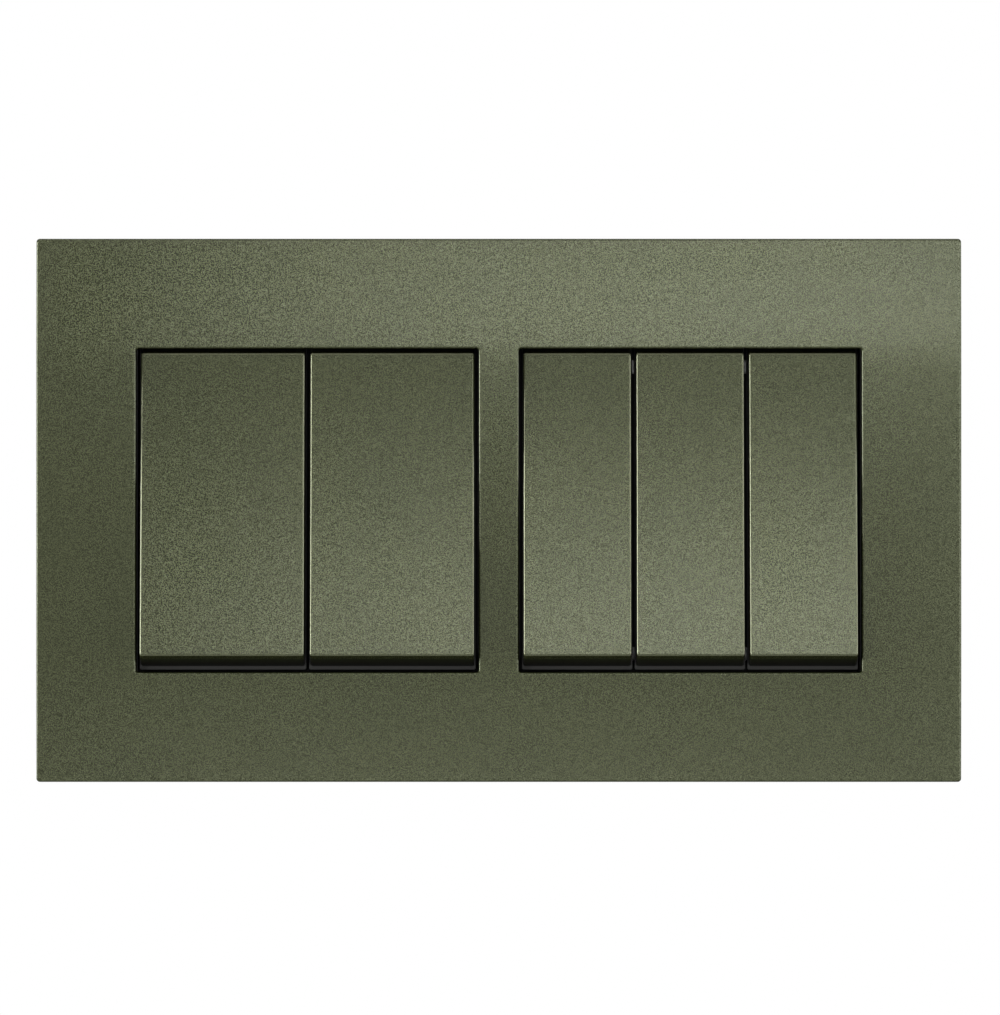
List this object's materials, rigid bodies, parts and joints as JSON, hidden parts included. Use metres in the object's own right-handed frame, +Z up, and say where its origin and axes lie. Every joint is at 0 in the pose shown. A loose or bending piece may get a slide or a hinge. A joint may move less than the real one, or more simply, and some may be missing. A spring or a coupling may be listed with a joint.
{
  "type": "light switch",
  "caption": "Wall light switch on a wide double plate: flat olive plate with two square windows, broad rockers in one and narrow rockers in the other",
  "frame": {"origin": "centre of the plate's outline, in the plane of the wall that its back rim stands on", "axes": "+X to the right, +Y into the wall, +Z up, as seen by someone who faces the switch"},
  "size_m": [0.1464, 0.033, 0.086],
  "materials": {
    "olive_paint": "satin metallic paint",
    "olive_rocker": "satin metallic paint",
    "frame_plastic": "moulded",
    "carrier_plastic": "moulded",
    "base_plastic": "moulded",
    "acetal": "moulded",
    "plunger_acetal": "moulded",
    "spring_steel": "drawn",
    "copper": "pressed copper",
    "terminal_brass": "machined",
    "screw_steel": "zinc plated"
  },
  "bodies": {
    "housing": {"cover_plate": "olive_paint", "mounting_frame": "frame_plastic", "two_gang_carrier": "carrier_plastic", "three_gang_carrier": "carrier_plastic", "two_gang_base": "base_plastic", "three_gang_base": "base_plastic", "common_terminal_1": "terminal_brass", "l1_terminal_1": "terminal_brass", "l2_terminal_1": "terminal_brass", "common_terminal_2": "terminal_brass", "l1_terminal_2": "terminal_brass", "l2_terminal_2": "terminal_brass", "common_terminal_3": "terminal_brass", "l1_terminal_3": "terminal_brass", "l2_terminal_3": "terminal_brass", "common_terminal_4": "terminal_brass", "l1_terminal_4": "terminal_brass", "l2_terminal_4": "terminal_brass", "common_terminal_5": "terminal_brass", "l1_terminal_5": "terminal_brass", "l2_terminal_5": "terminal_brass", "terminal_screws": "screw_steel"},
    "rocker_1": {"rocker_1": "olive_rocker", "dolly_1": "acetal", "spring_1": "spring_steel"},
    "plunger_1": {"plunger_1": "plunger_acetal"},
    "contact_1": {"contact_arm_1": "copper"},
    "rocker_2": {"rocker_2": "olive_rocker", "dolly_2": "acetal", "spring_2": "spring_steel"},
    "plunger_2": {"plunger_2": "plunger_acetal"},
    "contact_2": {"contact_arm_2": "copper"},
    "rocker_3": {"rocker_3": "olive_rocker", "dolly_3": "acetal", "spring_3": "spring_steel"},
    "plunger_3": {"plunger_3": "plunger_acetal"},
    "contact_3": {"contact_arm_3": "copper"},
    "rocker_4": {"rocker_4": "olive_rocker", "dolly_4": "acetal", "spring_4": "spring_steel"},
    "plunger_4": {"plunger_4": "plunger_acetal"},
    "contact_4": {"contact_arm_4": "copper"},
    "rocker_5": {"rocker_5": "olive_rocker", "dolly_5": "acetal", "spring_5": "spring_steel"},
    "plunger_5": {"plunger_5": "plunger_acetal"},
    "contact_5": {"contact_arm_5": "copper"}
  },
  "joints": [
    {"name": "rocker_1_press", "type": "hinge", "parent": "housing", "child": "rocker_1", "pos_m": [-0.04372, 0.0033, 0], "axis": [1, 0, 0], "range_deg": [0, 9.2]},
    {"name": "plunger_1_travel", "type": "slide", "parent": "rocker_1", "child": "plunger_1", "axis": [0, -0.9968, 0.0802], "range_m": [0, 0.0009], "stiffness_N_per_m": 600, "springref_m": -0.0008, "deforming": ["spring_1"]},
    {"name": "contact_1_seesaw", "type": "hinge", "parent": "housing", "child": "contact_1", "pos_m": [-0.04372, 0.0164, 0], "axis": [1, 0, 0], "range_deg": [-24, 0]},
    {"name": "rocker_2_press", "type": "hinge", "parent": "housing", "child": "rocker_2", "pos_m": [-0.01688, 0.0033, 0], "axis": [1, 0, 0], "range_deg": [0, 9.2]},
    {"name": "plunger_2_travel", "type": "slide", "parent": "rocker_2", "child": "plunger_2", "axis": [0, -0.9968, 0.0802], "range_m": [0, 0.0009], "stiffness_N_per_m": 600, "springref_m": -0.0008, "deforming": ["spring_2"]},
    {"name": "contact_2_seesaw", "type": "hinge", "parent": "housing", "child": "contact_2", "pos_m": [-0.01688, 0.0164, 0], "axis": [1, 0, 0], "range_deg": [-24, 0]},
    {"name": "rocker_3_press", "type": "hinge", "parent": "housing", "child": "rocker_3", "pos_m": [0.01243, 0.0033, 0], "axis": [1, 0, 0], "range_deg": [0, 9.2]},
    {"name": "plunger_3_travel", "type": "slide", "parent": "rocker_3", "child": "plunger_3", "axis": [0, -0.9968, 0.0802], "range_m": [0, 0.0009], "stiffness_N_per_m": 600, "springref_m": -0.0008, "deforming": ["spring_3"]},
    {"name": "contact_3_seesaw", "type": "hinge", "parent": "housing", "child": "contact_3", "pos_m": [0.01243, 0.0164, 0], "axis": [1, 0, 0], "range_deg": [-24, 0]},
    {"name": "rocker_4_press", "type": "hinge", "parent": "housing", "child": "rocker_4", "pos_m": [0.0303, 0.0033, 0], "axis": [1, 0, 0], "range_deg": [0, 9.2]},
    {"name": "plunger_4_travel", "type": "slide", "parent": "rocker_4", "child": "plunger_4", "axis": [0, -0.9968, 0.0802], "range_m": [0, 0.0009], "stiffness_N_per_m": 600, "springref_m": -0.0008, "deforming": ["spring_4"]},
    {"name": "contact_4_seesaw", "type": "hinge", "parent": "housing", "child": "contact_4", "pos_m": [0.0303, 0.0164, 0], "axis": [1, 0, 0], "range_deg": [-24, 0]},
    {"name": "rocker_5_press", "type": "hinge", "parent": "housing", "child": "rocker_5", "pos_m": [0.04817, 0.0033, 0], "axis": [1, 0, 0], "range_deg": [0, 9.2]},
    {"name": "plunger_5_travel", "type": "slide", "parent": "rocker_5", "child": "plunger_5", "axis": [0, -0.9968, 0.0802], "range_m": [0, 0.0009], "stiffness_N_per_m": 600, "springref_m": -0.0008, "deforming": ["spring_5"]},
    {"name": "contact_5_seesaw", "type": "hinge", "parent": "housing", "child": "contact_5", "pos_m": [0.04817, 0.0164, 0], "axis": [1, 0, 0], "range_deg": [-24, 0]}
  ],
  "couplings": [
    {"joint": "contact_1_seesaw", "follows": "rocker_1_press", "ratio": -2.6086},
    {"joint": "contact_2_seesaw", "follows": "rocker_2_press", "ratio": -2.6086},
    {"joint": "contact_3_seesaw", "follows": "rocker_3_press", "ratio": -2.6086},
    {"joint": "contact_4_seesaw", "follows": "rocker_4_press", "ratio": -2.6086},
    {"joint": "contact_5_seesaw", "follows": "rocker_5_press", "ratio": -2.6086}
  ]
}
